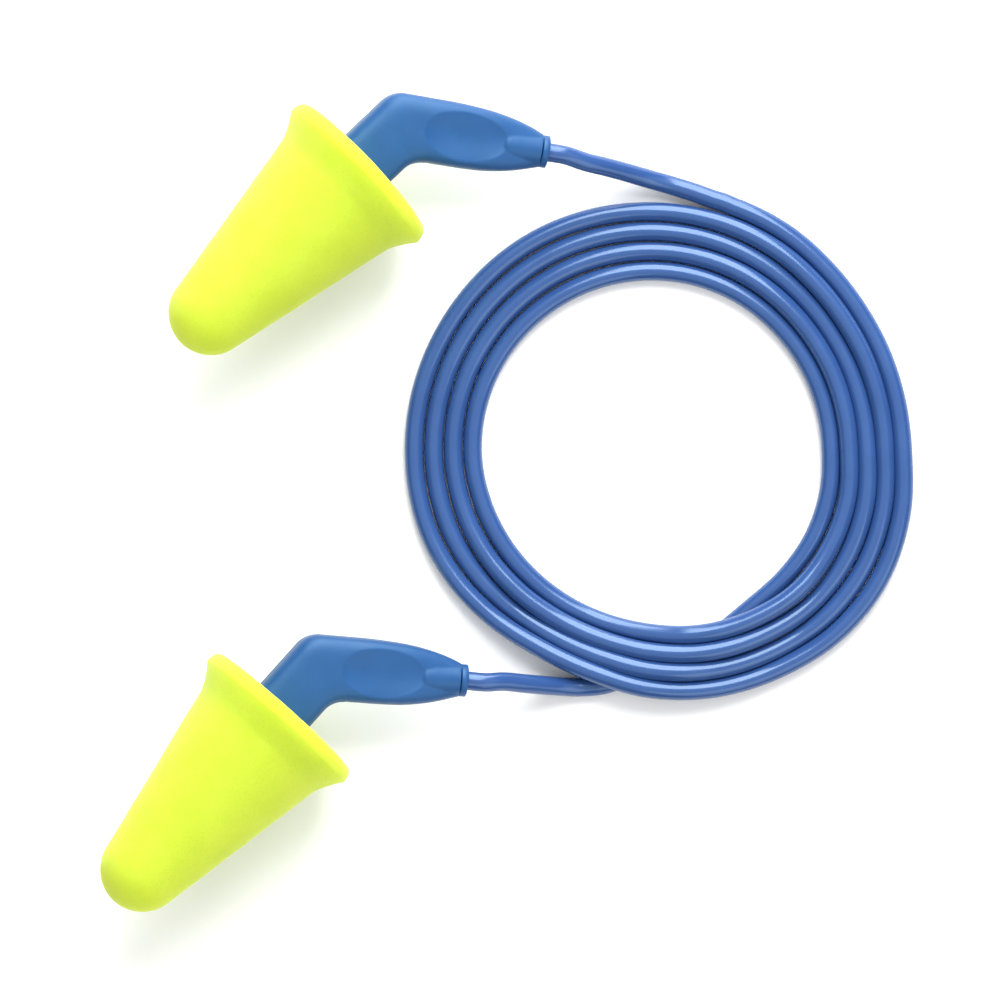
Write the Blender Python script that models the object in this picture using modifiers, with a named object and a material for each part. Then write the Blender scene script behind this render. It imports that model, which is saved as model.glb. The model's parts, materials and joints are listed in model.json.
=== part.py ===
"""A pair of push-in foam ear plugs on one cord, lying on a table with the cord wound in a flat coil.

Each plug is a foam bell on a soft moulded handle: a neck with a barbed post inside the foam, an
elbow, and a thumb grip with a socket for the cord. Both plugs are the same moulding. Metres, +Z up.
The origin is on the table, under the middle of the two plugs.
"""

import math

import bmesh
import bpy
from mathutils import Euler, Matrix, Vector

GAP = 0.0003  # between pieces that touch

# Foam tip, turned about the plug's axis, with distances taken from the tip of the nose.
FOAM_LENGTH = 0.0220
NOSE_RADIUS = 0.00365
CONE_SLOPE = 0.19
FLARE_START = 0.0184
FLARE_END = 0.0209
FLARE_HEIGHT = 0.00090
FLARE_POWER = 1.6
LIP_RADIUS = 0.0005
SIDE_STOPS = (0.0100, FLARE_START, 0.0193, 0.0201, FLARE_END)  # where the outside has a ring
NOSE_STEPS = 6
LIP_STEPS = 3
FOAM_STEPS = 36

# Post that holds the foam, with three barbs.
POST_LENGTH = 0.0140
POST_RADIUS = 0.0015
BARB_RADIUS = 0.0019
BARB_LENGTH = 0.0016
BARB_STEP = 0.0002
BARB_PITCH = 0.0036
BARBS = 3
POST_ROOT = 0.0020  # how far the post's root runs into the neck
POST_STEPS = 20

# Handle. Its frame has the elbow at the origin and +X along the grip to the cord.
BEND = math.radians(53)
ELBOW_TO_FOAM = 0.0051
KNUCKLE_RADIUS = 0.00285
KNUCKLE_STEPS = 16
NECK_THICKNESS = 0.0039
NECK_ROUNDING = 0.0011
FLEX = math.radians(15)
ELBOW_ROOM_REACH = 0.0120  # how far the cutter at the elbow runs past the neck
ELBOW_ROOM_DEPTH = 0.0080
ELBOW_ROOM_STEPS = 24
GRIP_START = -0.0010
GRIP_LENGTH = 0.0126
COLLAR_RADIUS = 0.00142
GRIP_SIDES = 28
GRIP_SECTIONS = (  # distance along the grip, half width, half thickness, squareness of the section
    (GRIP_START, 0.00287, 0.00195, 2.8),
    (0.0030, 0.00284, 0.00195, 2.8),
    (0.0055, 0.00272, 0.00190, 2.8),
    (0.0072, 0.00262, 0.00185, 2.7),
    (0.0088, 0.00242, 0.00180, 2.5),
    (0.0100, 0.00215, 0.00171, 2.2),
    (0.0112, 0.00178, 0.00155, 2.0),
    (0.0120, COLLAR_RADIUS, COLLAR_RADIUS, 2.0),
    (GRIP_LENGTH, COLLAR_RADIUS, COLLAR_RADIUS, 2.0),
)
PAD_CENTRE = 0.0051
PAD_HALF_LENGTH = 0.0037
PAD_HALF_WIDTH = 0.00215
PAD_FLOOR = 0.0015  # above the middle plane of the handle
PAD_SIDES = 32
PAD_CUTTER_DEPTH = 0.0020

# Cord, and the sockets that hold its ends.
CORD_RADIUS = 0.00083
CORD_HEIGHT = 0.00085  # the middle of a cord that lies on the table
SOCKET_RADIUS = CORD_RADIUS + GAP
SOCKET_BOTTOM = 0.0076
SOCKET_SIDES = 20
CORD_IN_SOCKET = (SOCKET_BOTTOM + GAP, 0.0100, GRIP_LENGTH, 0.0143)  # along the grip
CORD_POINT_SPACING = 0.0040

# Coil: one turned ring, with a hump where the turns ride over the lead under them.
COIL_CENTRE = (0.0287, 0.0045)
COIL_INNER_RADIUS = 0.0147
COIL_OUTER_RADIUS = 0.0221
COIL_HEIGHT = 0.0017
COIL_ROUNDING = 0.0005
COIL_CORNER_STEPS = 2
COIL_STEPS = 72
COIL_ROOM_SIDES = 96
COIL_ROOM_DEPTH = 0.0120
HUMP_CENTRE = (0.0309, -0.01346)
HUMP_SEMI_AXES = (0.0075, 0.0032, 0.0025)
HUMP_BASE = 0.0003
HUMP_ANGLE = math.radians(25)
HUMP_SIDES = (24, 12)

# Where the plugs lie: the elbow on the table plan, and the way the grip points.
TAIL_DOWN = math.radians(10)
PLUGS = {
    "left": {"elbow": (0.006825, 0.03225), "yaw": math.radians(-9.6)},
    "right": {"elbow": (-0.000335, -0.01459), "yaw": math.radians(-5.3)},
}
# The cord's route from each socket down to the table and along it to the coil: x, y, z.
LEAD_ROUTES = {
    "left": (
        (0.02240, 0.02936, 0.00415),
        (0.02420, 0.02896, 0.00325),
        (0.02610, 0.02850, 0.00220),
        (0.02800, 0.02798, 0.00132),
        (0.02990, 0.02746, 0.00090),
        (0.03190, 0.02684, CORD_HEIGHT),
    ),
    "right": (
        (0.01530, -0.01584, 0.00410),
        (0.01700, -0.01602, 0.00323),
        (0.01880, -0.01620, 0.00215),
        (0.02040, -0.01632, 0.00132),
        (0.02190, -0.01638, 0.00090),
        (0.02370, -0.01625, CORD_HEIGHT),
    ),
}

FOAM_YELLOW = (0.79, 0.90, 0.09, 1.0)
HANDLE_BLUE = (0.075, 0.165, 0.42, 1.0)
CORD_BLUE = (0.08, 0.18, 0.50, 1.0)
FOAM_ROUGHNESS = 0.9
HANDLE_ROUGHNESS = 0.45
CORD_ROUGHNESS = 0.28
WELD = 0.000001


def clear_scene():
    """Removes the startup objects."""
    for obj in list(bpy.data.objects):
        bpy.data.objects.remove(obj)


def new_collection(name):
    """A collection in the scene."""
    collection = bpy.data.collections.new(name)
    bpy.context.scene.collection.children.link(collection)
    return collection


def new_material(name, colour, roughness):
    """A plain finish with one colour."""
    material = bpy.data.materials.new(name)
    material.use_nodes = True
    shader = material.node_tree.nodes["Principled BSDF"]
    shader.inputs["Base Color"].default_value = colour
    shader.inputs["Roughness"].default_value = roughness
    shader.inputs["Metallic"].default_value = 0.0
    material.diffuse_color = colour
    return material


def add_part(name, data, material, matrix):
    """Places one piece of the ear plugs."""
    data.materials.append(material)
    obj = bpy.data.objects.new(name, data)
    obj.matrix_world = matrix
    PARTS.objects.link(obj)
    return obj


def add_cutter(name, data, matrix):
    """Places a shape that cuts or joins a piece, and isn't a piece itself."""
    obj = bpy.data.objects.new(name, data)
    obj.matrix_world = matrix
    obj.hide_render = True
    obj.display_type = "WIRE"
    CUTTERS.objects.link(obj)
    return obj


def add_boolean(obj, other, operation):
    """Cuts or joins with the exact solver."""
    modifier = obj.modifiers.new(operation.lower() + "_" + other.name, "BOOLEAN")
    modifier.operation = operation
    modifier.solver = "EXACT"
    modifier.object = other


def add_screw(obj, steps):
    """Turns a profile in the XZ plane into a solid about its Z axis."""
    modifier = obj.modifiers.new("turn", "SCREW")
    modifier.axis = "Z"
    modifier.steps = steps
    modifier.render_steps = steps
    modifier.use_merge_vertices = True
    modifier.merge_threshold = WELD
    modifier.use_smooth_shade = True


def profile_mesh(name, points, closed=False):
    """A line of points (radius, height) for a screw."""
    mesh = bpy.data.meshes.new(name)
    edges = [(i, i + 1) for i in range(len(points) - 1)]
    if closed:
        edges.append((len(points) - 1, 0))
    mesh.from_pydata([(r, 0, z) for r, z in points], edges, [])
    return mesh


def arc(centre, radius, start, end, steps):
    """Points on an arc, from one angle to the other, both ends included."""
    angles = [start + (end - start) * i / steps for i in range(steps + 1)]
    return [(centre[0] + radius * math.cos(a), centre[1] + radius * math.sin(a)) for a in angles]


def mesh_of_curve(name, curve, matrix=Matrix.Identity(4)):
    """Turns a curve into a closed mesh, with its caps welded on and its faces outwards."""
    guide = bpy.data.objects.new(name + "_curve", curve)
    CUTTERS.objects.link(guide)
    bpy.context.view_layer.update()
    graph = bpy.context.evaluated_depsgraph_get()
    mesh = bpy.data.meshes.new_from_object(guide.evaluated_get(graph))
    bpy.data.objects.remove(guide)
    solid = bmesh.new()
    solid.from_mesh(mesh)
    bmesh.ops.remove_doubles(solid, verts=solid.verts, dist=WELD)
    bmesh.ops.recalc_face_normals(solid, faces=solid.faces)
    solid.transform(matrix)
    solid.to_mesh(mesh)
    solid.free()
    mesh.materials.clear()
    mesh.name = name
    return mesh


def plate_mesh(name, outline, thickness, matrix=Matrix.Identity(4), rounding=0.0):
    """A flat plate with this outline, half of it on each side of z = 0, and its edges rounded."""
    curve = bpy.data.curves.new(name, "CURVE")
    curve.dimensions = "2D"
    curve.fill_mode = "BOTH"
    curve.extrude = thickness / 2 - rounding
    curve.bevel_depth = rounding
    curve.bevel_resolution = 1
    curve.offset = -rounding
    spline = curve.splines.new("POLY")
    spline.points.add(len(outline) - 1)
    for point, (x, y) in zip(spline.points, outline):
        point.co = (x, y, 0, 1)
    spline.use_cyclic_u = True
    return mesh_of_curve(name, curve, matrix)


def foam_radius(distance):
    """The foam's outer radius at a distance from the tip of its nose, past the nose's ball."""
    slope_angle = math.atan(CONE_SLOPE)
    start = NOSE_RADIUS * (1 - math.sin(slope_angle))
    cone = NOSE_RADIUS * math.cos(slope_angle) + (distance - start) * CONE_SLOPE
    share = max(0.0, (distance - FLARE_START) / (FLARE_END - FLARE_START))
    return cone + FLARE_HEIGHT * share**FLARE_POWER


def foam_profile():
    """The foam from its nose down the outside and the lip, then up the hole for the post."""
    slope_angle = math.atan(CONE_SLOPE)
    nose = arc((0, FOAM_LENGTH - NOSE_RADIUS), NOSE_RADIUS, math.pi / 2, slope_angle, NOSE_STEPS)
    nose[0] = (0, FOAM_LENGTH)
    side = [(foam_radius(d), FOAM_LENGTH - d) for d in SIDE_STOPS]
    lip_centre = (foam_radius(FLARE_END) - LIP_RADIUS, LIP_RADIUS)
    lip = arc(lip_centre, LIP_RADIUS, 0, -math.pi / 2, LIP_STEPS)
    bore = BARB_RADIUS + GAP
    hole = [(bore, 0), (bore, POST_LENGTH + GAP), (0, POST_LENGTH + GAP)]
    return nose + side + lip + hole


def turned_mesh(name, profile, steps):
    """A turned solid as a mesh of its own."""
    guide = bpy.data.objects.new(name + "_profile", profile_mesh(name, profile))
    CUTTERS.objects.link(guide)
    add_screw(guide, steps)
    bpy.context.view_layer.update()
    graph = bpy.context.evaluated_depsgraph_get()
    mesh = bpy.data.meshes.new_from_object(guide.evaluated_get(graph))
    bpy.data.objects.remove(guide)
    return mesh


def foam_tip(side, matrix):
    """The soft foam bell, turned about the plug's axis."""
    mesh = turned_mesh(side + "_foam_tip", foam_profile(), FOAM_STEPS)
    mesh.transform(Matrix.Translation(FOAM_BACK - ELBOW_PIVOT) @ FOAM_TURN)
    return add_part(side + "_foam_tip", mesh, FOAM, matrix @ Matrix.Translation(ELBOW_PIVOT))


def post_profile():
    """The post from its far end, over its barbs, back to its root inside the neck."""
    points = [(0, POST_LENGTH), (POST_RADIUS, POST_LENGTH)]
    for i in range(BARBS):
        crest = POST_LENGTH - BARB_PITCH * (i + 0.5)
        points.append((POST_RADIUS, crest + BARB_LENGTH))
        points.append((BARB_RADIUS, crest))
        points.append((POST_RADIUS, crest - BARB_STEP))
    return points + [(POST_RADIUS, -POST_ROOT), (0, -POST_ROOT)]


def neck_outline():
    """The neck from its square end at the foam to its round knuckle, along +X."""
    length = ELBOW_TO_FOAM - GAP - ELBOW_PIVOT.dot(FOAM_WAY)
    round_end = arc((0, 0), KNUCKLE_RADIUS, math.pi / 2, 3 * math.pi / 2, KNUCKLE_STEPS)
    return round_end + [(length, -KNUCKLE_RADIUS), (length, KNUCKLE_RADIUS)]


def stem(side, matrix):
    """The neck, its knuckle at the elbow, and the barbed post inside the foam."""
    turn = Matrix.Rotation(math.pi + BEND, 4, "Z")
    pivot = matrix @ Matrix.Translation(ELBOW_PIVOT)
    neck = plate_mesh(side + "_stem", neck_outline(), NECK_THICKNESS, turn, NECK_ROUNDING)
    part = add_part(side + "_stem", neck, HANDLE, pivot)
    post = turned_mesh(side + "_post", post_profile(), POST_STEPS)
    post.transform(Matrix.Translation(FOAM_BACK - ELBOW_PIVOT) @ FOAM_TURN)
    add_boolean(part, add_cutter(side + "_post", post, pivot), "UNION")
    return part


def grip_mesh(name):
    """The grip as a loft through its sections, from a wide flat paddle to a round collar."""
    solid = bmesh.new()
    rings = []
    for distance, half_width, half_thickness, squareness in GRIP_SECTIONS:
        ring = bmesh.ops.create_circle(solid, segments=GRIP_SIDES, radius=1, cap_ends=False)["verts"]
        for vert in ring:
            x, y = vert.co.x, vert.co.y
            across = math.copysign(abs(x) ** (2 / squareness), x)
            up = math.copysign(abs(y) ** (2 / squareness), y)
            vert.co = (distance, across * half_width, up * half_thickness)
        rings.append({edge for vert in ring for edge in vert.link_edges})
    for near, far in zip(rings, rings[1:]):
        bmesh.ops.bridge_loops(solid, edges=list(near | far))
    bmesh.ops.contextual_create(solid, geom=list(rings[0]))
    bmesh.ops.contextual_create(solid, geom=list(rings[-1]))
    bmesh.ops.recalc_face_normals(solid, faces=solid.faces)
    mesh = bpy.data.meshes.new(name)
    solid.to_mesh(mesh)
    solid.free()
    return mesh


def elbow_cutter_mesh(name):
    """The room that the knuckle and the neck need in the grip, over the whole flex."""
    radius = KNUCKLE_RADIUS + GAP
    closing = math.pi + BEND + FLEX
    opening = math.pi + BEND - FLEX
    start = opening - math.pi / 2
    end = closing + math.pi / 2 - 2 * math.pi
    round_side = arc((0, 0), radius, start, end, ELBOW_ROOM_STEPS)
    corners = []
    for (x, y), way in ((round_side[-1], closing), (round_side[0], opening)):
        corners.append((x + ELBOW_ROOM_REACH * math.cos(way), y + ELBOW_ROOM_REACH * math.sin(way)))
    return plate_mesh(name, round_side + corners, ELBOW_ROOM_DEPTH)


def socket_mesh(name):
    """The blind hole in the tail that the cord is pressed into."""
    solid = bmesh.new()
    depth = GRIP_LENGTH - SOCKET_BOTTOM
    bmesh.ops.create_cone(
        solid,
        cap_ends=True,
        segments=SOCKET_SIDES,
        radius1=SOCKET_RADIUS,
        radius2=SOCKET_RADIUS,
        depth=2 * depth,
        matrix=Matrix.Translation((GRIP_LENGTH, 0, 0)) @ Matrix.Rotation(math.pi / 2, 4, "Y"),
    )
    mesh = bpy.data.meshes.new(name)
    solid.to_mesh(mesh)
    solid.free()
    return mesh


def pad_outline():
    """The oval of the thumb pad."""
    angles = [2 * math.pi * i / PAD_SIDES for i in range(PAD_SIDES)]
    return [
        (PAD_CENTRE + PAD_HALF_LENGTH * math.cos(a), PAD_HALF_WIDTH * math.sin(a)) for a in angles
    ]


def grip(side, matrix):
    """The thumb grip, with a flat oval pad on both faces and the cord socket in its tail."""
    mesh = grip_mesh(side + "_grip")
    mesh.transform(Matrix.Translation(-TAIL))
    part = add_part(side + "_grip", mesh, HANDLE, matrix @ Matrix.Translation(TAIL))
    elbow = elbow_cutter_mesh(side + "_elbow_room")
    place = matrix @ Matrix.Translation(ELBOW_PIVOT)
    add_boolean(part, add_cutter(side + "_elbow_room", elbow, place), "DIFFERENCE")
    socket = socket_mesh(side + "_socket")
    add_boolean(part, add_cutter(side + "_socket", socket, matrix), "DIFFERENCE")
    for face, way in (("upper", 1), ("lower", -1)):
        name = side + "_" + face + "_pad"
        lift = Matrix.Translation((0, 0, way * (PAD_FLOOR + PAD_CUTTER_DEPTH / 2)))
        pad = plate_mesh(name, pad_outline(), PAD_CUTTER_DEPTH, lift)
        add_boolean(part, add_cutter(name, pad, matrix), "DIFFERENCE")
    return part


def smooth_route(points):
    """Points about one spacing apart on a smooth curve through the route's points."""
    padded = [2 * points[0] - points[1], *points, 2 * points[-1] - points[-2]]
    found = []
    for before, start, end, after in zip(padded, padded[1:], padded[2:], padded[3:]):
        steps = max(1, round((end - start).length / CORD_POINT_SPACING))
        first = (end - before) / 2
        last = (after - start) / 2
        for i in range(steps):
            t = i / steps
            found.append(
                start * (2 * t**3 - 3 * t**2 + 1)
                + first * (t**3 - 2 * t**2 + t)
                + end * (3 * t**2 - 2 * t**3)
                + last * (t**3 - t**2)
            )
    return [*found, points[-1]]


def cord_lead(side, matrix):
    """The free cord between a socket and the coil, cut off face to face with the coil."""
    inside = [matrix @ Vector((x, 0, 0)) for x in CORD_IN_SOCKET]
    route = smooth_route(inside + [Vector(p) for p in LEAD_ROUTES[side]])
    curve = bpy.data.curves.new("cord_lead_" + side, "CURVE")
    curve.dimensions = "3D"
    curve.bevel_depth = CORD_RADIUS
    curve.bevel_resolution = 2
    curve.use_fill_caps = True
    spline = curve.splines.new("POLY")
    spline.points.add(len(route) - 1)
    for point, place in zip(spline.points, route):
        point.co = (*place, 1)
    mesh = mesh_of_curve("cord_lead_" + side, curve)
    lead = add_part("cord_lead_" + side, mesh, CORD, Matrix.Identity(4))
    add_boolean(lead, COIL_ROOM, "DIFFERENCE")
    return lead


def coil_room():
    """The coil's outside with its gap, which cuts the leads off."""
    bpy.ops.mesh.primitive_cylinder_add(
        vertices=COIL_ROOM_SIDES,
        radius=COIL_OUTER_RADIUS + GAP,
        depth=COIL_ROOM_DEPTH,
        location=(*COIL_CENTRE, 0),
    )
    room = bpy.context.object
    mesh = room.data.copy()
    matrix = room.matrix_world.copy()
    bpy.data.objects.remove(room)
    return add_cutter("coil_room", mesh, matrix)


def hump_mesh():
    """A low mound with a flat base, over the lead that runs under the turns."""
    solid = bmesh.new()
    sides, rings = HUMP_SIDES
    bmesh.ops.create_uvsphere(solid, u_segments=sides, v_segments=rings, radius=1)
    bmesh.ops.scale(solid, vec=HUMP_SEMI_AXES, verts=solid.verts)
    cut = bmesh.ops.bisect_plane(
        solid,
        geom=solid.verts[:] + solid.edges[:] + solid.faces[:],
        plane_co=(0, 0, HUMP_BASE - CORD_RADIUS),
        plane_no=(0, 0, -1),
        clear_outer=True,
    )
    rim = [item for item in cut["geom_cut"] if isinstance(item, bmesh.types.BMEdge)]
    bmesh.ops.contextual_create(solid, geom=rim)
    bmesh.ops.recalc_face_normals(solid, faces=solid.faces)
    mesh = bpy.data.meshes.new("cord_hump")
    solid.to_mesh(mesh)
    solid.free()
    return mesh


def coil():
    """The wound part of the cord as one ring, with its hump."""
    corners = (
        (COIL_OUTER_RADIUS - COIL_ROUNDING, COIL_HEIGHT - COIL_ROUNDING, math.pi / 2, 0),
        (COIL_OUTER_RADIUS - COIL_ROUNDING, COIL_ROUNDING, 0, -math.pi / 2),
        (COIL_INNER_RADIUS + COIL_ROUNDING, COIL_ROUNDING, -math.pi / 2, -math.pi),
        (COIL_INNER_RADIUS + COIL_ROUNDING, COIL_HEIGHT - COIL_ROUNDING, -math.pi, -1.5 * math.pi),
    )
    profile = []
    for radius, height, start, end in corners:
        profile += arc((radius, height), COIL_ROUNDING, start, end, COIL_CORNER_STEPS)
    mesh = profile_mesh("cord_coil", profile, closed=True)
    ring = add_part("cord_coil", mesh, CORD, Matrix.Translation((*COIL_CENTRE, 0)))
    add_screw(ring, COIL_STEPS)
    place = Matrix.Translation((*HUMP_CENTRE, CORD_RADIUS))
    hump = add_cutter("cord_hump", hump_mesh(), place @ Matrix.Rotation(HUMP_ANGLE, 4, "Z"))
    add_boolean(ring, hump, "UNION")
    return ring


def plug_height():
    """How high the elbow is when the foam's lip touches the table."""
    middle = FOAM_BACK + FOAM_WAY * LIP_RADIUS
    drop = TAIL_DOWN_TURN @ middle
    lean = math.sqrt(1 - (TAIL_DOWN_TURN @ FOAM_WAY).z ** 2)
    widest = foam_radius(FLARE_END)
    return (widest - LIP_RADIUS) * lean + LIP_RADIUS - drop.z


clear_scene()
PARTS = new_collection("corded_foam_ear_plugs")
CUTTERS = new_collection("cutters")
FOAM = new_material("foam", FOAM_YELLOW, FOAM_ROUGHNESS)
HANDLE = new_material("handle", HANDLE_BLUE, HANDLE_ROUGHNESS)
CORD = new_material("cord", CORD_BLUE, CORD_ROUGHNESS)

# Fixed places in the handle's frame.
FOAM_WAY = Vector((math.cos(math.pi + BEND), math.sin(math.pi + BEND), 0))
FOAM_BACK = FOAM_WAY * ELBOW_TO_FOAM
FOAM_TURN = FOAM_WAY.to_track_quat("Z", "Y").to_matrix().to_4x4()
ELBOW_PIVOT = Vector((-0.0005, 0, 0))
TAIL = Vector((GRIP_LENGTH, 0, 0))
TAIL_DOWN_TURN = Euler((0, TAIL_DOWN, 0)).to_matrix()

COIL_ROOM = coil_room()
coil()
for side, place in PLUGS.items():
    flat = Matrix.Translation((*place["elbow"], plug_height()))
    plug = flat @ Matrix.Rotation(place["yaw"], 4, "Z") @ TAIL_DOWN_TURN.to_4x4()
    foam_tip(side, plug)
    stem(side, plug)
    grip(side, plug)
    cord_lead(side, plug)
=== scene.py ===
# Corded push-in foam ear plugs, lying on a table with the cord wound in a flat coil.
# Two foam bells on bent soft handles, joined by one thin vinyl cord. Metres, +Z up.

import json
import math

import bmesh
import bpy
from mathutils import Matrix, Vector, noise


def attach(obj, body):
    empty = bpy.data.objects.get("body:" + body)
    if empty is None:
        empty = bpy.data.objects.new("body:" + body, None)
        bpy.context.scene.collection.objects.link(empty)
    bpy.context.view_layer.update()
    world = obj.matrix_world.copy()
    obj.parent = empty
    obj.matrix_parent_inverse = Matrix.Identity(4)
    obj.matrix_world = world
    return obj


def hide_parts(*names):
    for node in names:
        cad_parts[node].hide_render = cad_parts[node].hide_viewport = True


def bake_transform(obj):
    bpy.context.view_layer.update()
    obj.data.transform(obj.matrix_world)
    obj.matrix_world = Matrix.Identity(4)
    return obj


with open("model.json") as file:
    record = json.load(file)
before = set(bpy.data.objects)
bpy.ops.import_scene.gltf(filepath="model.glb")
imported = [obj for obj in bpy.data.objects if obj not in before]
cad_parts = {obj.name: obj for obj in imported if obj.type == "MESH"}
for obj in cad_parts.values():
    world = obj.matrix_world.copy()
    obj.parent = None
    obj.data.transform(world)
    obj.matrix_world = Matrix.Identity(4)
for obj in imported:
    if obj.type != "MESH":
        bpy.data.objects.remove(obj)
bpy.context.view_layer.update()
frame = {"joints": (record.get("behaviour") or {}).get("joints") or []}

# ---------------------------------------------------------------------------------------------
# Table, light and camera. The plugs lie on a plain white table top. A soft box stands beyond
# them, a wide one hangs above, and a small one in front fills the shadows, with white cards round
# about. The camera hangs straight above the table.
# ---------------------------------------------------------------------------------------------

VIEW_FIELD = 0.087  # width of the table that the camera takes in
VIEW_LENS = 300.0
VIEW_CENTRE = Vector((0.01497, -0.00004, 0.004))
SOFT_BOXES = (  # name, place, width, depth, power
    ("soft_box_beyond", (0.10, 0.50, 0.34), 0.38, 0.80, 9.2),
    ("soft_box_above", (0.02, 0.0, 0.9), 2.0, 2.0, 10.8),
    ("soft_box_front", (0.36, -0.42, 0.42), 0.6, 0.5, 1.7),
)
CARD_LIGHT = 0.22  # what the white cards round about give back
LAMINATE_WHITE = (0.93, 0.93, 0.93, 1)
TABLE_HALF_SIZE = 2.0

scene = bpy.context.scene
for startup in ("Cube", "Light", "Camera"):
    if startup in bpy.data.objects:
        bpy.data.objects.remove(bpy.data.objects[startup])
scene.view_settings.view_transform = "Standard"


def add_object(name, data):
    """An object at the origin, in the scene."""
    obj = bpy.data.objects.new(name, data)
    scene.collection.objects.link(obj)
    return obj


def add_camera():
    """The camera over the table, with +Y up in its picture."""
    data = bpy.data.cameras.new("camera_over_table")
    data.lens = VIEW_LENS
    camera = add_object("camera_over_table", data)
    height = VIEW_FIELD * VIEW_LENS / data.sensor_width
    camera.location = VIEW_CENTRE + Vector((0, 0, height))
    scene.camera = camera


def add_soft_box(name, place, width, depth, power):
    """A rectangular soft light that faces the plugs."""
    data = bpy.data.lights.new(name, "AREA")
    data.shape = "RECTANGLE"
    data.size = width
    data.size_y = depth
    data.energy = power
    light = add_object(name, data)
    light.location = place
    light.rotation_euler = (VIEW_CENTRE - Vector(place)).to_track_quat("-Z", "Y").to_euler()


def add_node(tree, kind, inputs, **settings):
    """A shader node. An input is a plain value, or the output of another node."""
    made = tree.nodes.new("ShaderNode" + kind)
    for name, value in settings.items():
        setattr(made, name, value)
    for name, value in inputs.items():
        if isinstance(value, bpy.types.NodeSocket):
            tree.links.new(value, made.inputs[name])
        else:
            made.inputs[name].default_value = value
    return made


def new_material(name):
    """An empty material with one Principled shader, and its node tree."""
    material = bpy.data.materials.new(name)
    material.use_nodes = True
    return material, material.node_tree, material.node_tree.nodes["Principled BSDF"]


def add_table_top():
    """A wide white laminate sheet, just under the plugs."""
    solid = bmesh.new()
    bmesh.ops.create_grid(solid, x_segments=1, y_segments=1, size=TABLE_HALF_SIZE)
    mesh = bpy.data.meshes.new("table_top")
    solid.to_mesh(mesh)
    solid.free()
    table = add_object("table_top", mesh)
    material, _, shader = new_material("white_laminate")
    shader.inputs["Base Color"].default_value = LAMINATE_WHITE
    shader.inputs["Roughness"].default_value = 0.7
    mesh.materials.append(material)


add_camera()
add_table_top()
for soft_box in SOFT_BOXES:
    add_soft_box(*soft_box)
world = bpy.data.worlds.new("white_cards")
world.use_nodes = True
world.node_tree.nodes["Background"].inputs["Color"].default_value = (1, 1, 1, 1)
world.node_tree.nodes["Background"].inputs["Strength"].default_value = CARD_LIGHT
scene.world = world

# ---------------------------------------------------------------------------------------------
# Cord. One length of soft vinyl, extruded round and glossy, 1.66 mm thick. Each end is pressed
# into the socket in a handle's tail. It comes down to the table and lies in a flat coil, wound
# from the inside out, and the end from the right plug runs under the turns to the inside.
# ---------------------------------------------------------------------------------------------

CORD_RADIUS = 0.00083
CORD_SIDES = 32
CORD_HEIGHT = 0.00085  # the middle of a cord that lies on the table
GRIP_LENGTH = 0.0126
CORD_IN_SOCKET = (0.0079, 0.0100, 0.0126, 0.0143)  # along the grip, from the elbow
JOINTS = {joint["name"]: joint for joint in frame["joints"]}
# The cord's route from each socket to the coil: x, y, z.
CORD_LEADS = {
    "left": (
        (0.02240, 0.02936, 0.00415),
        (0.02420, 0.02896, 0.00325),
        (0.02610, 0.02850, 0.00220),
        (0.02800, 0.02798, 0.00132),
        (0.02990, 0.02746, 0.00090),
        (0.03190, 0.02684, CORD_HEIGHT),
        (0.03345, 0.02628, CORD_HEIGHT),
    ),
    "right": (
        (0.01530, -0.01584, 0.00410),
        (0.01700, -0.01602, 0.00323),
        (0.01880, -0.01620, 0.00215),
        (0.02040, -0.01632, 0.00132),
        (0.02190, -0.01638, 0.00090),
        (0.02370, -0.01625, CORD_HEIGHT),
        (0.02550, -0.01574, CORD_HEIGHT),
        (0.02830, -0.01466, CORD_HEIGHT),
        (0.03110, -0.01342, CORD_HEIGHT),
        (0.03393, -0.01184, CORD_HEIGHT),
        (0.03673, -0.00961, CORD_HEIGHT),
        (0.03988, -0.00679, CORD_HEIGHT),
        (0.04230, -0.00340, CORD_HEIGHT),
        (0.04365, 0.00049, CORD_HEIGHT),
    ),
}
COIL_CENTRE = Vector((0.02856, 0.00453, 0))
COIL_SHAPE = (  # degrees, radius of the first turn there, and from one turn to the next
    (0, 0.01530, 0.00157),
    (30, 0.01516, 0.00156),
    (45, 0.01518, 0.00160),
    (60, 0.01527, 0.00167),
    (90, 0.01543, 0.00173),
    (120, 0.01563, 0.00178),
    (150, 0.01588, 0.00171),
    (180, 0.01598, 0.00171),
    (200, 0.01585, 0.00176),
    (212, 0.01578, 0.00172),
    (226, 0.01574, 0.00160),
    (240, 0.01578, 0.00147),
    (255, 0.01592, 0.00149),
    (268, 0.01618, 0.00161),
    (285, 0.01675, 0.00164),
    (300, 0.01718, 0.00165),
    (315, 0.01757, 0.00168),
    (330, 0.01754, 0.00171),
    (345, 0.01731, 0.00164),
)
COIL_RADII = [  # degrees along the whole cord, radius there
    (turn * 360 + place, start + turn * step)
    for turn in range(-1, 6)
    for place, start, step in COIL_SHAPE
]
COIL_DEGREES = 1512
COIL_STEP_DEGREES = 1.8
RAMP_STEPS = 8  # how far ahead of the crossing the cord starts to rise
LEAD_STEPS = 8  # from each place of a lead to the next
JOIN_STEPS = 8  # steps of the coil that guide a lead into its line
CORD_BLUES = ((0.0225, 0.0635, 0.206, 1), (0.0270, 0.0730, 0.226, 1))
CORD_ROUGHNESS = (0.15, 0.21)
CORD_PATCH = 0.004
CORD_WAVES_PER_METRE = 500.0
CORD_WAVE_HEIGHT = 0.00004


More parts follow.
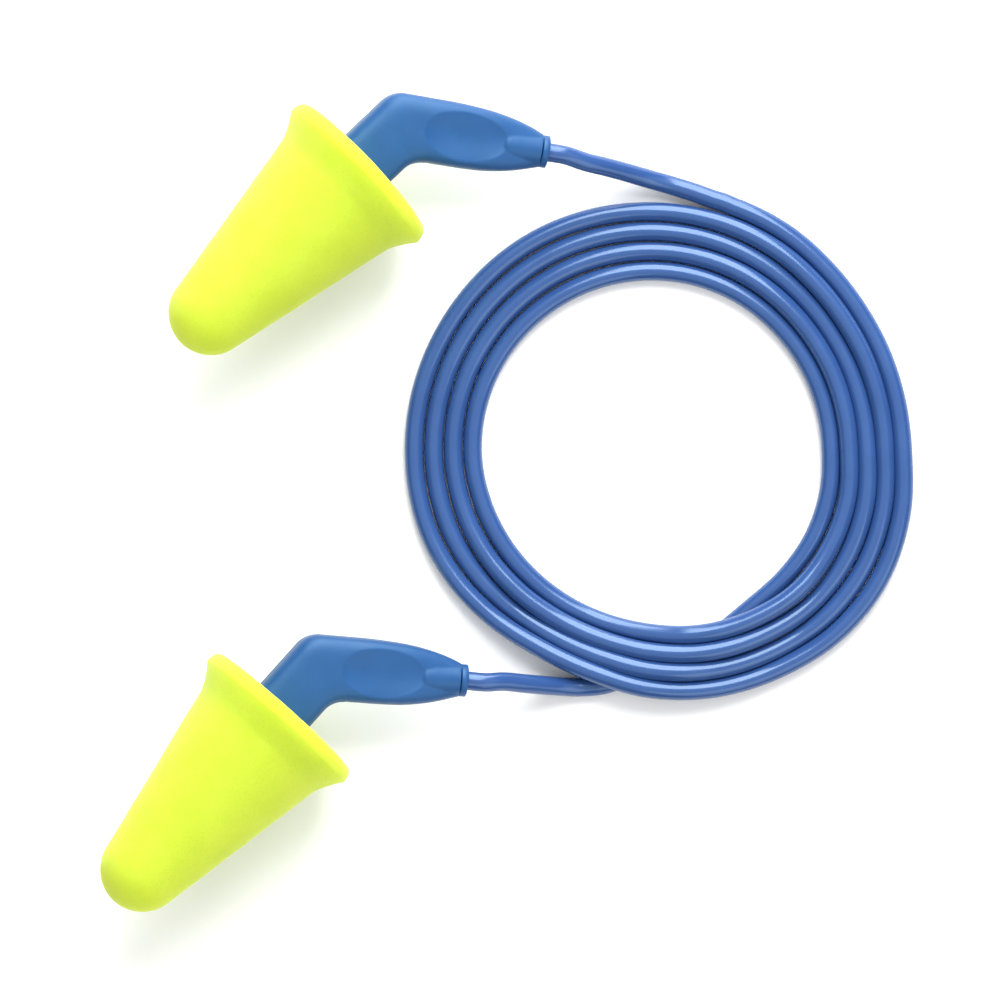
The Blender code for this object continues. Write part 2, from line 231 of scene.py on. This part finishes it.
def plug_frame(side):
    """The plug's own frame: elbow at the origin, +X along the grip, +Z square to its pads."""
    along = -Vector(JOINTS[side + "_cord_twist"]["axis"])
    up = Vector(JOINTS[side + "_stem_flex"]["axis"])
    matrix = Matrix((along, up.cross(along), up)).transposed().to_4x4()
    matrix.translation = Vector(JOINTS[side + "_cord_twist"]["pos_m"]) - GRIP_LENGTH * along
    return matrix


PLUG = {side: plug_frame(side) for side in ("left", "right")}


def smooth_line(points, steps):
    """Points on a smooth curve through these, with this many steps from each to the next."""
    padded = [2 * points[0] - points[1], *points, 2 * points[-1] - points[-2]]
    found = []
    for before, start, end, after in zip(padded, padded[1:], padded[2:], padded[3:]):
        first = (end - before) / 2
        last = (after - start) / 2
        for i in range(steps):
            t = i / steps
            found.append(
                start * (2 * t**3 - 3 * t**2 + 1)
                + first * (t**3 - 2 * t**2 + t)
                + end * (3 * t**2 - 2 * t**3)
                + last * (t**3 - t**2)
            )
    return [*found, points[-1]]


def smooth_values(stations, along):
    """The values of a table of stations at one distance, on smooth curves through them."""
    last = len(stations) - 1
    i = max(0, min(last - 1, sum(station[0] <= along for station in stations) - 1))
    before, start, end, after = (stations[max(0, min(last, j))] for j in (i - 1, i, i + 1, i + 2))
    span = end[0] - start[0]
    t = max(0.0, min(1.0, (along - start[0]) / span))
    found = []
    for a, b, c, d in zip(before[1:], start[1:], end[1:], after[1:]):
        first = (c - a) / (end[0] - before[0]) * span
        second = (d - b) / (after[0] - start[0]) * span
        found.append(
            b * (2 * t**3 - 3 * t**2 + 1)
            + first * (t**3 - 2 * t**2 + t)
            + c * (3 * t**2 - 2 * t**3)
            + second * (t**3 - t**2)
        )
    return found


def coil_place(degrees):
    """A point of the flat spiral, on the table."""
    angle = math.radians(degrees)
    radius = smooth_values(COIL_RADII, degrees)[0]
    return COIL_CENTRE + Vector((radius * math.cos(angle), radius * math.sin(angle), CORD_HEIGHT))


def lift_over(place, lead):
    """How far the cord at this place must rise to lie on top of the lead."""
    lift = 0.0
    for under in lead:
        apart = (place.xy - under.xy).length
        if apart < 2 * CORD_RADIUS:
            lift = max(lift, under.z + math.sqrt((2 * CORD_RADIUS) ** 2 - apart**2) - place.z)
    return lift


def coil_turns(lead):
    """The spiral, raised over the lead, and raised in every other turn where the turns are tight."""
    steps = round(COIL_DEGREES / COIL_STEP_DEGREES)
    flat = [coil_place(i * COIL_STEP_DEGREES) for i in range(steps + 1)]
    turn = round(360 / COIL_STEP_DEGREES)
    lifts = []
    for i, place in enumerate(flat):
        beside = [flat[j] for j in (i - turn, i + turn) if 0 <= j < len(flat)]
        over = (lead if i > turn / 2 else []) + (beside if i // turn % 2 else [])
        lifts.append(lift_over(place, over))
    for blend in (max, lambda values: sum(values) / len(values)):
        lifts = [blend(lifts[max(0, i - RAMP_STEPS) : i + RAMP_STEPS + 1]) for i in range(len(lifts))]
    return [place + Vector((0, 0, lift)) for place, lift in zip(flat, lifts)]


def cord_route():
    """The whole cord, from the bottom of the right socket to the bottom of the left one."""
    leads = {}
    for side, places in CORD_LEADS.items():
        inside = [PLUG[side] @ Vector((x, 0, 0)) for x in CORD_IN_SOCKET]
        leads[side] = inside + [Vector(place) for place in places]
    coil_start = [coil_place(0), coil_place(COIL_STEP_DEGREES * JOIN_STEPS)]
    start = smooth_line(leads["right"] + coil_start, LEAD_STEPS)
    turns = coil_turns(start[:-LEAD_STEPS])
    end = smooth_line([turns[-1 - JOIN_STEPS], turns[-1], *reversed(leads["left"])], LEAD_STEPS)
    return start[: -LEAD_STEPS - 1] + turns + end[LEAD_STEPS + 1 :]


def add_cloud_group():
    """Faint cloudy patches, as in any coloured plastic: a mask from 0 to 1."""
    group = bpy.data.node_groups.new("colour_clouds", "ShaderNodeTree")
    group.interface.new_socket("Size", in_out="INPUT", socket_type="NodeSocketFloat")
    group.interface.new_socket("Mask", in_out="OUTPUT", socket_type="NodeSocketFloat")
    taken = group.nodes.new("NodeGroupInput")
    given = group.nodes.new("NodeGroupOutput")
    place = add_node(group, "TexCoord", {})
    scale = add_node(group, "Math", {0: 1.0, 1: taken.outputs["Size"]}, operation="DIVIDE")
    clouds = add_node(
        group,
        "TexNoise",
        {"Vector": place.outputs["Object"], "Scale": scale.outputs[0], "Detail": 3.0, "Roughness": 0.55},
    )
    spread = add_node(
        group,
        "MapRange",
        {"Value": clouds.outputs["Fac"], "From Min": 0.2, "From Max": 0.8},
        interpolation_type="SMOOTHSTEP",
    )
    group.links.new(spread.outputs["Result"], given.inputs["Mask"])
    return group


COLOUR_CLOUDS = add_cloud_group()


def add_clouds(tree, size):
    """The mask of cloudy patches about this many metres across."""
    clouds = tree.nodes.new("ShaderNodeGroup")
    clouds.node_tree = COLOUR_CLOUDS
    clouds.inputs["Size"].default_value = size
    return clouds.outputs["Mask"]


def add_mix(tree, mask, low, high):
    """A colour between two, by a mask."""
    mixed = add_node(tree, "Mix", {0: mask, 6: low, 7: high}, data_type="RGBA")
    return mixed.outputs[2]


def cord_vinyl():
    """Glossy blue vinyl with the slight waviness of a soft extrusion."""
    material, tree, shader = new_material("blue_cord_vinyl")
    clouds = add_clouds(tree, CORD_PATCH)
    colour = add_mix(tree, clouds, *CORD_BLUES)
    tree.links.new(colour, shader.inputs["Base Color"])
    smooth, rough = CORD_ROUGHNESS
    gloss = add_node(tree, "MapRange", {"Value": clouds, "To Min": smooth, "To Max": rough})
    tree.links.new(gloss.outputs["Result"], shader.inputs["Roughness"])
    place = add_node(tree, "TexCoord", {})
    waves = add_node(
        tree,
        "TexNoise",
        {"Vector": place.outputs["Object"], "Scale": CORD_WAVES_PER_METRE, "Detail": 1.0},
    )
    bump = add_node(
        tree,
        "Bump",
        {"Height": waves.outputs["Fac"], "Strength": 0.2, "Distance": CORD_WAVE_HEIGHT},
    )
    tree.links.new(bump.outputs["Normal"], shader.inputs["Normal"])
    shader.inputs["Specular IOR Level"].default_value = 0.65
    shader.inputs["Specular Tint"].default_value = (0.62, 0.82, 1.0, 1)
    return material


def add_cord():
    """The cord as one curve, with its length as laid."""
    route = cord_route()
    data = bpy.data.curves.new("cord", "CURVE")
    data.dimensions = "3D"
    data.bevel_depth = CORD_RADIUS
    data.bevel_resolution = CORD_SIDES // 2 - 2
    data.use_fill_caps = True
    spline = data.splines.new("POLY")
    spline.points.add(len(route) - 1)
    for point, place in zip(spline.points, route):
        point.co = (*place, 1)
    spline.use_smooth = True
    data.materials.append(cord_vinyl())
    cord = add_object("cord", data)
    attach(cord, "cord")
    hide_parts("cord_coil", "cord_lead_left", "cord_lead_right")


add_cord()

# ---------------------------------------------------------------------------------------------
# Handles. Each is one soft moulding in blue elastomer: a barbed post that the foam is bonded to,
# a short neck, an elbow, and a flat thumb grip with an oval dish pressed in both faces. A round
# boss for the cord stands out of the grip's tail and ends in a collar, with the socket in it.
# ---------------------------------------------------------------------------------------------

BEND = math.radians(53)  # between the grip and the neck
FOAM_WAY = Vector((-math.cos(BEND), -math.sin(BEND), 0))
FOAM_SIDE = Vector((-math.sin(BEND), math.cos(BEND), 0))  # across the neck, to its outer side
ELBOW_TO_FOAM = 0.0051
NECK_OUTER = 0.00312  # from the foam's axis to the neck's outer side
NECK_INNER = 0.00246
GRIP_OUTER = 0.00287  # from the cord's axis to the grip's outer side, at the elbow
GRIP_INNER = 0.00276
OUTER_CORNER = 0.0024  # the radius of the elbow on its outer side
INNER_CORNER = 0.0023
HANDLE_THICKNESS = 0.00194  # from the middle plane to a face
HANDLE_SQUARENESS = 3.8
HANDLE_SIDES = 128
NECK_RINGS = 30
ELBOW_RINGS = 24
GRIP_RINGS = 100
PARTING_RIDGE = 1.010  # how far the mould's joint line stands out
POST_STATIONS = (  # distance into the foam, radius
    (0.0140, 0.0002),
    (0.0140, 0.0010),
    (0.0138, 0.0013),
    (0.0120, 0.0015),
    (0.0104, 0.0019),
    (0.0102, 0.0015),
    (0.0084, 0.0015),
    (0.0068, 0.0019),
    (0.0066, 0.0015),
    (0.0048, 0.0015),
    (0.0032, 0.0019),
    (0.0030, 0.0015),
    (0.0002, 0.0015),
)
GRIP_STATIONS = (  # distance along the grip, outer edge, inner edge, half thickness, squareness
    (-0.0014, 0.00287, -0.00276, 0.00194, 3.8),
    (0.0020, 0.00288, -0.00272, 0.00194, 3.8),
    (0.0038, 0.00288, -0.00270, 0.00192, 3.8),
    (0.0056, 0.00281, -0.00266, 0.00186, 3.6),
    (0.0072, 0.00268, -0.00256, 0.00172, 3.4),
    (0.0088, 0.00243, -0.00232, 0.00150, 3.2),
    (0.0100, 0.00215, -0.00205, 0.00132, 2.9),
    (0.0111, 0.00182, -0.00172, 0.00118, 2.5),
    (0.0120, 0.00146, -0.00143, 0.00114, 2.2),
)
COLLAR_STATIONS = (  # distance along the grip, radius: the collar, then the socket in it
    (0.01204, 0.00140),
    (0.01210, 0.00142),
    (0.01256, 0.00142),
    (0.01260, 0.00138),
    (0.01260, 0.00092),
    (0.01255, 0.00086),
    (0.00780, 0.00086),
    (0.00780, 0.00020),
)
DISH_CENTRE = 0.0051
DISH_HALF_LENGTH = 0.0037
DISH_HALF_WIDTH = 0.00212
DISH_DEPTH = 0.00044
DISH_FALL = 0.8  # how steeply the dish falls from its rim: 0.5 is a round bowl
BOSS_STATIONS = (  # distance along the grip, radius of the boss
    (0.0083, 0.00120),
    (0.0087, 0.00158),
    (0.0094, 0.00162),
    (0.0104, 0.00154),
    (0.0120, 0.00140),
)
BOSS_MIN_HEIGHT = 0.0005  # the boss is raised on the faces, and not on the joint line
SHARP_EDGE = math.radians(50)
SAME_PLACE = 0.0000005  # points nearer than this are one
HANDLE_BLUES = ((0.0090, 0.058, 0.190, 1), (0.0120, 0.067, 0.212, 1))
HANDLE_ROUGHNESS = (0.40, 0.50)
HANDLE_PATCH = 0.0025
MOULD_GRAINS_PER_METRE = 7000.0
MOULD_GRAIN_HEIGHT = 0.00003


def blue_elastomer():
    """Satin blue elastomer with the fine grain of its mould."""
    material, tree, shader = new_material("blue_handle_elastomer")
    clouds = add_clouds(tree, HANDLE_PATCH)
    colour = add_mix(tree, clouds, *HANDLE_BLUES)
    tree.links.new(colour, shader.inputs["Base Color"])
    smooth, rough = HANDLE_ROUGHNESS
    satin = add_node(tree, "MapRange", {"Value": clouds, "To Min": smooth, "To Max": rough})
    tree.links.new(satin.outputs["Result"], shader.inputs["Roughness"])
    place = add_node(tree, "TexCoord", {})
    grain = add_node(
        tree,
        "TexNoise",
        {"Vector": place.outputs["Object"], "Scale": MOULD_GRAINS_PER_METRE, "Detail": 3.0},
    )
    bump = add_node(
        tree,
        "Bump",
        {"Height": grain.outputs["Fac"], "Strength": 0.35, "Distance": MOULD_GRAIN_HEIGHT},
    )
    tree.links.new(bump.outputs["Normal"], shader.inputs["Normal"])
    shader.inputs["Specular Tint"].default_value = (0.55, 0.85, 1.0, 1)
    return material


def neck_meets(offset, height):
    """Where a line along the neck, this far from the foam's axis, meets a line along the grip."""
    across = FOAM_SIDE * offset
    return across + FOAM_WAY * (height - across.y) / FOAM_WAY.y


def round_sections(stations, start, way, side):
    """Round sections from a table of distance and radius."""
    found = []
    for distance, radius in stations:
        centre = start + way * distance
        found.append((centre + side * radius, centre - side * radius, radius, 2.0, 1.0))
    return found


def neck_and_elbow():
    """Sections from the foam round the elbow, each between an outer and an inner edge point."""
    outer_corner = neck_meets(NECK_OUTER, GRIP_OUTER)
    inner_corner = neck_meets(-NECK_INNER, -GRIP_INNER)
    outer_start = outer_corner + FOAM_WAY * OUTER_CORNER * math.tan(BEND / 2)
    inner_start = inner_corner + FOAM_WAY * INNER_CORNER * math.tan(BEND / 2)
    outer_end = FOAM_WAY * ELBOW_TO_FOAM + FOAM_SIDE * NECK_OUTER
    inner_end = FOAM_WAY * ELBOW_TO_FOAM - FOAM_SIDE * NECK_INNER
    pairs = []
    for i in range(NECK_RINGS):
        share = i / NECK_RINGS
        pairs.append((outer_end.lerp(outer_start, share), inner_end.lerp(inner_start, share)))
    for i in range(ELBOW_RINGS):
        turn = Matrix.Rotation(-BEND * i / ELBOW_RINGS, 3, "Z")
        outer = outer_start + (turn @ FOAM_SIDE - FOAM_SIDE) * OUTER_CORNER
        inner = inner_start + (turn @ FOAM_SIDE - FOAM_SIDE) * INNER_CORNER
        pairs.append((outer, inner))
    return [(o, i, HANDLE_THICKNESS, HANDLE_SQUARENESS, PARTING_RIDGE) for o, i in pairs]


def grip_sections():
    """Sections of the grip, slanting at the elbow and square to the grip at the tail."""
    outer_first = neck_meets(NECK_OUTER, GRIP_OUTER).x + OUTER_CORNER * math.tan(BEND / 2)
    inner_first = neck_meets(-NECK_INNER, -GRIP_INNER).x + INNER_CORNER * math.tan(BEND / 2)
    last = GRIP_STATIONS[-1][0]
    found = []
    for i in range(GRIP_RINGS + 1):
        outer_x = outer_first + (last - outer_first) * i / GRIP_RINGS
        inner_x = inner_first + (last - inner_first) * i / GRIP_RINGS
        outer = Vector((outer_x, smooth_values(GRIP_STATIONS, outer_x)[0], 0))
        inner = Vector((inner_x, smooth_values(GRIP_STATIONS, inner_x)[1], 0))
        thickness, squareness = smooth_values(GRIP_STATIONS, (outer_x + inner_x) / 2)[2:]
        found.append((outer, inner, thickness, squareness, PARTING_RIDGE))
    return found


def section_point(section, side):
    """One point round a section: side 0 is its outer edge, on the mould's joint line."""
    outer, inner, thickness, squareness, ridge = section
    angle = 2 * math.pi * side / HANDLE_SIDES
    across = math.cos(angle)
    up = math.sin(angle)
    reach = (abs(across) ** squareness + abs(up) ** squareness) ** (-1 / squareness)
    if side % (HANDLE_SIDES // 2) == 0:
        reach *= ridge
    middle = (outer + inner) / 2
    return middle + (outer - middle) * across * reach + Vector((0, 0, thickness * up * reach))


def with_dish_and_boss(point):
    """The point after the dish is pressed in and the boss for the cord is raised."""
    height = abs(point.z)
    across = ((point.x - DISH_CENTRE) / DISH_HALF_LENGTH) ** 2 + (point.y / DISH_HALF_WIDTH) ** 2
    if across < 1 and height > DISH_DEPTH * 2:
        height -= DISH_DEPTH * (1 - across) ** DISH_FALL
    if BOSS_STATIONS[0][0] < point.x < GRIP_STATIONS[-1][0]:
        radius = smooth_values(BOSS_STATIONS, point.x)[0]
        if abs(point.y) < radius and height > BOSS_MIN_HEIGHT:
            height = max(height, math.sqrt(radius**2 - point.y**2))
    return Vector((point.x, point.y, math.copysign(height, point.z)))


def handle_mesh(name, matrix):
    """A flat sheet rolled into a tube through all the sections, and closed at both ends."""
    along = Vector((1, 0, 0))
    sections = round_sections(POST_STATIONS, FOAM_WAY * ELBOW_TO_FOAM, FOAM_WAY, FOAM_SIDE)
    sections += neck_and_elbow() + grip_sections()
    sections += round_sections(COLLAR_STATIONS, Vector(), along, Vector((0, 1, 0)))
    last = len(sections) - 1
    solid = bmesh.new()
    bmesh.ops.create_grid(solid, x_segments=last, y_segments=HANDLE_SIDES, size=1)
    for vert in solid.verts:
        section = sections[round((vert.co.x + 1) / 2 * last)]
        side = round((vert.co.y + 1) / 2 * HANDLE_SIDES) % HANDLE_SIDES
        vert.co = matrix @ with_dish_and_boss(section_point(section, side))
    bmesh.ops.remove_doubles(solid, verts=solid.verts, dist=SAME_PLACE)
    bmesh.ops.holes_fill(solid, edges=[edge for edge in solid.edges if edge.is_boundary])
    bmesh.ops.recalc_face_normals(solid, faces=solid.faces)
    mesh = bpy.data.meshes.new(name)
    solid.to_mesh(mesh)
    solid.free()
    mesh.shade_smooth()
    mesh.set_sharp_from_angle(angle=SHARP_EDGE)
    return mesh


def add_handle(side, material):
    """One handle. It bends at the elbow, between the grip and the foam."""
    name = side + "_handle"
    mesh = handle_mesh(name, PLUG[side])
    mesh.materials.append(material)
    handle = add_object(name, mesh)
    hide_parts(side + "_grip", side + "_stem")
    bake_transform(handle)


ELASTOMER = blue_elastomer()
for plug_side in PLUG:
    add_handle(plug_side, ELASTOMER)

# ---------------------------------------------------------------------------------------------
# Foam tips. Soft slow-recovery foam, moulded round the post as a bell with a round nose and a
# flared lip. It has a smooth matt skin in a bright yellow-green, with fine pores darkened by painted
# shade.
# ---------------------------------------------------------------------------------------------

FOAM_LENGTH = 0.0220
NOSE_RADIUS = 0.00365
CONE_SLOPE = 0.19
FLARE_START = 0.0184  # from the tip of the nose
FLARE_END = 0.0209
FLARE_HEIGHT = 0.0009
FLARE_POWER = 1.6
LIP_RADIAL = 0.0005
NOSE_STEPS = 24
CONE_STEPS = 60
FLARE_STEPS = 16
LIP_STEPS = 10
BACK_STEPS = 22
FOAM_STEPS = 192
BORE_RADIUS = 0.0019
BORE_BEYOND_POST = 0.0002
SWELL = 0.00003  # how uneven the foam's skin is
BROAD_SWELLS_PER_METRE = 400
FINE_SWELLS_PER_METRE = 1300
FOAM_SHARP_EDGE = math.radians(60)
FOAM_YELLOWS = ((0.472, 0.592, 0.035, 1), (0.515, 0.630, 0.047, 1))
# The darker yellow at the middle of each pore is painted shade in its hollow.
PORE_SHADE_YELLOW = (0.42, 0.54, 0.03, 1)
FOAM_PATCH = 0.0030
PORES_PER_METRE = 4200.0
PORE_WIDTH = 0.32  # of the way from one pore's middle to the next
GRAINS_PER_METRE = 3000.0
GRAIN_HEIGHT = 0.00006


def foam_skin():
    """Matt yellow-green foam: cloudy colour, fine pore dips darkened with painted shade, and light that
    goes a little way in.
    """
    material, tree, shader = new_material("yellow_foam")
    clouds = add_clouds(tree, FOAM_PATCH)
    colour = add_mix(tree, clouds, *FOAM_YELLOWS)
    place = add_node(tree, "TexCoord", {})
    pores = add_node(
        tree, "TexVoronoi", {"Vector": place.outputs["Object"], "Scale": PORES_PER_METRE}
    )
    skin = add_node(tree, "MapRange", {"Value": pores.outputs["Distance"], "From Max": PORE_WIDTH})
    # Painted shade: the middle of each pore, where the skin dips, is mixed toward the darker yellow.
    pore_shaded_colour = add_mix(tree, skin.outputs["Result"], PORE_SHADE_YELLOW, colour)
    tree.links.new(pore_shaded_colour, shader.inputs["Base Color"])
    grain = add_node(
        tree,
        "TexNoise",
        {"Vector": place.outputs["Object"], "Scale": GRAINS_PER_METRE, "Detail": 4.0},
    )
    relief = add_node(
        tree, "Math", {0: skin.outputs["Result"], 1: grain.outputs["Fac"]}, operation="ADD"
    )
    bump = add_node(
        tree, "Bump", {"Height": relief.outputs[0], "Strength": 0.3, "Distance": GRAIN_HEIGHT}
    )
    tree.links.new(bump.outputs["Normal"], shader.inputs["Normal"])
    shader.inputs["Roughness"].default_value = 0.9
    shader.inputs["Specular IOR Level"].default_value = 0.25
    shader.inputs["Sheen Weight"].default_value = 0.12
    shader.inputs["Subsurface Weight"].default_value = 0.85
    shader.inputs["Subsurface Radius"].default_value = (1.0, 0.9, 0.25)
    shader.inputs["Subsurface Scale"].default_value = 0.0050
    return material


def bell_radius(distance):
    """The bell's radius at a distance from the tip of its nose, past the nose's ball."""
    slope = math.atan(CONE_SLOPE)
    cone = NOSE_RADIUS * math.cos(slope) + (distance - NOSE_RADIUS * (1 - math.sin(slope))) * CONE_SLOPE
    flare = max(0.0, (distance - FLARE_START) / (FLARE_END - FLARE_START))
    return cone + FLARE_HEIGHT * flare**FLARE_POWER


def bell_profile():
    """Radius and height over the back face: down the outside, round the lip, into the bore."""
    slope = math.atan(CONE_SLOPE)
    cone_start = NOSE_RADIUS * (1 - math.sin(slope))
    points = []
    for i in range(NOSE_STEPS):
        angle = math.pi / 2 - (math.pi / 2 - slope) * i / NOSE_STEPS
        radius = NOSE_RADIUS * math.cos(angle) if i else 0.0
        points.append((radius, FOAM_LENGTH - NOSE_RADIUS * (1 - math.sin(angle))))
    cone = (cone_start, FLARE_START, CONE_STEPS)
    flare = (FLARE_START, FLARE_END, FLARE_STEPS)
    for start, end, steps in (cone, flare):
        for i in range(steps):
            distance = start + (end - start) * i / steps
            points.append((bell_radius(distance), FOAM_LENGTH - distance))
    widest = bell_radius(FLARE_END)
    lip_height = FOAM_LENGTH - FLARE_END
    for i in range(LIP_STEPS):
        angle = math.pi / 2 * i / LIP_STEPS
        points.append((widest - LIP_RADIAL * (1 - math.cos(angle)), lip_height * (1 - math.sin(angle))))
    for i in range(BACK_STEPS + 1):
        points.append((widest - LIP_RADIAL + (BORE_RADIUS - widest + LIP_RADIAL) * i / BACK_STEPS, 0))
    depth = POST_STATIONS[0][0] + BORE_BEYOND_POST
    return points + [(BORE_RADIUS, depth), (0, depth)]


def bell_mesh(name, matrix):
    """The bell, spun about the post, with its skin a little uneven."""
    solid = bmesh.new()
    verts = [solid.verts.new((radius, 0, height)) for radius, height in bell_profile()]
    edges = [solid.edges.new(pair) for pair in zip(verts, verts[1:])]
    bmesh.ops.spin(
        solid,
        geom=verts + edges,
        cent=(0, 0, 0),
        axis=(0, 0, 1),
        angle=2 * math.pi,
        steps=FOAM_STEPS,
        use_merge=True,
    )
    bmesh.ops.remove_doubles(solid, verts=solid.verts, dist=SAME_PLACE)
    bmesh.ops.recalc_face_normals(solid, faces=solid.faces)
    turn = FOAM_WAY.to_track_quat("Z", "Y").to_matrix().to_4x4()
    solid.transform(matrix @ Matrix.Translation(FOAM_WAY * ELBOW_TO_FOAM) @ turn)
    solid.normal_update()
    moves = []
    for vert in solid.verts:
        broad = noise.noise(vert.co * BROAD_SWELLS_PER_METRE)
        fine = noise.noise(vert.co * FINE_SWELLS_PER_METRE)
        swell = broad + 0.5 * fine
        moves.append(vert.normal * swell * SWELL)
    for vert, move in zip(solid.verts, moves):
        vert.co += move
    mesh = bpy.data.meshes.new(name)
    solid.to_mesh(mesh)
    solid.free()
    mesh.shade_smooth()
    mesh.set_sharp_from_angle(angle=FOAM_SHARP_EDGE)
    return mesh


def add_foam_tip(side, material):
    """One foam tip, bonded to the post and to the end of the neck."""
    mesh = bell_mesh(side + "_foam_bell", PLUG[side])
    mesh.materials.append(material)
    tip = add_object(side + "_foam_bell", mesh)
    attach(tip, side + "_tip")
    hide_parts(side + "_foam_tip")


FOAM = foam_skin()
for plug_side in PLUG:
    add_foam_tip(plug_side, FOAM)
